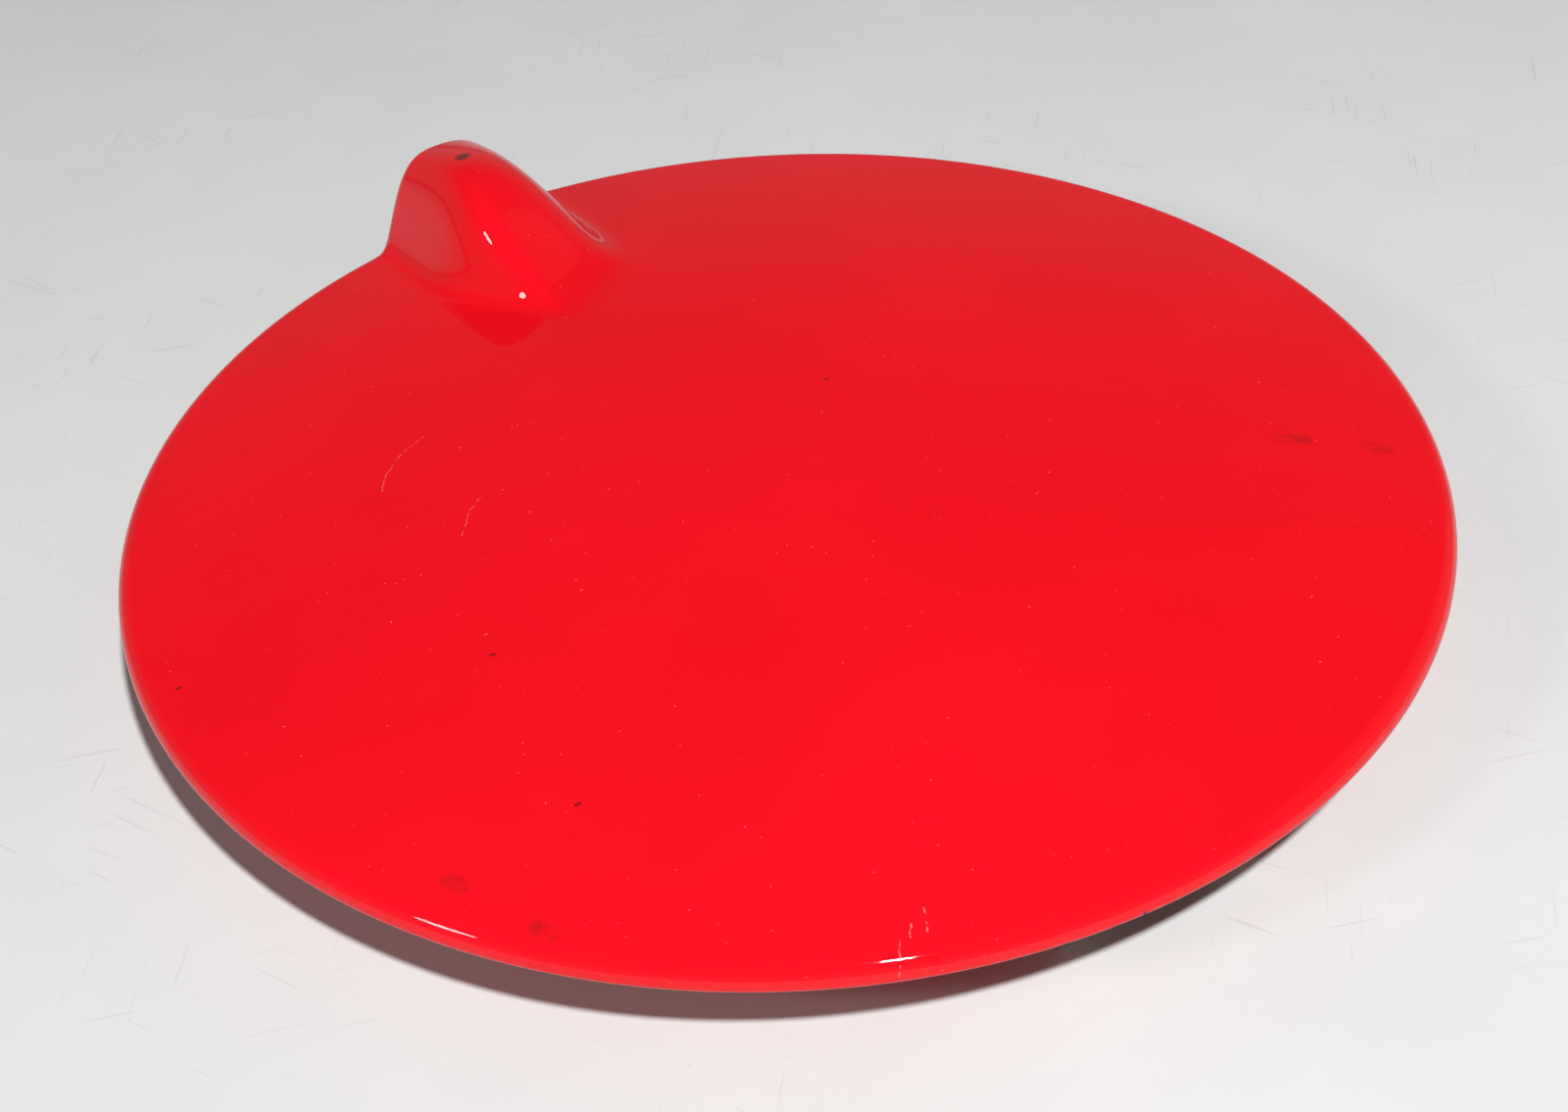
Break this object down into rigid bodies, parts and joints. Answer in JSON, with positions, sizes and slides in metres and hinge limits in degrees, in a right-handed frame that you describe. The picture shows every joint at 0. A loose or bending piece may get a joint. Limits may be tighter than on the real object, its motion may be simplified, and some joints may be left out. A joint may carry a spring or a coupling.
{
  "type": "fuel filler flap",
  "caption": "Round crowned red fuel filler flap with a hollow finger pull at its rim, a hemmed inner panel and a concealed sprung hinge on a bolt-on bracket.",
  "frame": {"origin": "centre of the round flap, on the plane that the bracket's base and the two rubber buffers stand on", "axes": "+Z out of the painted face, +Y from the hinge to the finger pull, X along the hinge axis"},
  "size_m": [0.18, 0.18, 0.0327],
  "materials": {
    "body_paint": "glossy clear coat over solid red",
    "panel_paint": "thin body-colour coat with no clear coat",
    "hem_sealer": "satin sealer under body colour",
    "mastic": "matt expanding mastic",
    "rubber": "matt EPDM rubber",
    "zinc_plate": "bright zinc plate",
    "screw_steel": "zinc plated screw steel",
    "striker_steel": "zinc plated steel wire",
    "bush_nylon": "natural nylon",
    "pin_steel": "ground steel",
    "clip_steel": "oil-black spring steel",
    "spring_steel": "oiled spring wire",
    "holder_plastic": "black moulded polypropylene"
  },
  "bodies": {
    "bracket": {"hinge_bracket": "zinc_plate", "hinge_pin": "pin_steel", "pin_washer": "pin_steel", "pin_clip": "clip_steel", "open_stop_pads": "rubber", "torsion_spring": "spring_steel"},
    "flap": {"outer_skin": "body_paint", "inner_panel": "panel_paint", "hem_sealer": "hem_sealer", "anti_flutter_pads": "mastic", "blanking_plugs": "rubber", "buffer_left": "rubber", "buffer_right": "rubber", "hinge_leaf": "zinc_plate", "leaf_washers": "zinc_plate", "weld_nuts": "zinc_plate", "leaf_screws": "screw_steel", "striker_screws": "screw_steel", "catch_striker": "striker_steel", "bush_left": "bush_nylon", "bush_right": "bush_nylon", "cap_holder": "holder_plastic", "holder_rivets": "holder_plastic"}
  },
  "joints": [
    {"name": "flap_hinge", "type": "hinge", "parent": "bracket", "child": "flap", "pos_m": [0, -0.0815, 0.0095], "axis": [1, 0, 0], "range_deg": [0, 100], "stiffness_Nm_per_rad": 0.035, "springref_deg": -51.57, "deforming": ["torsion_spring"]}
  ]
}
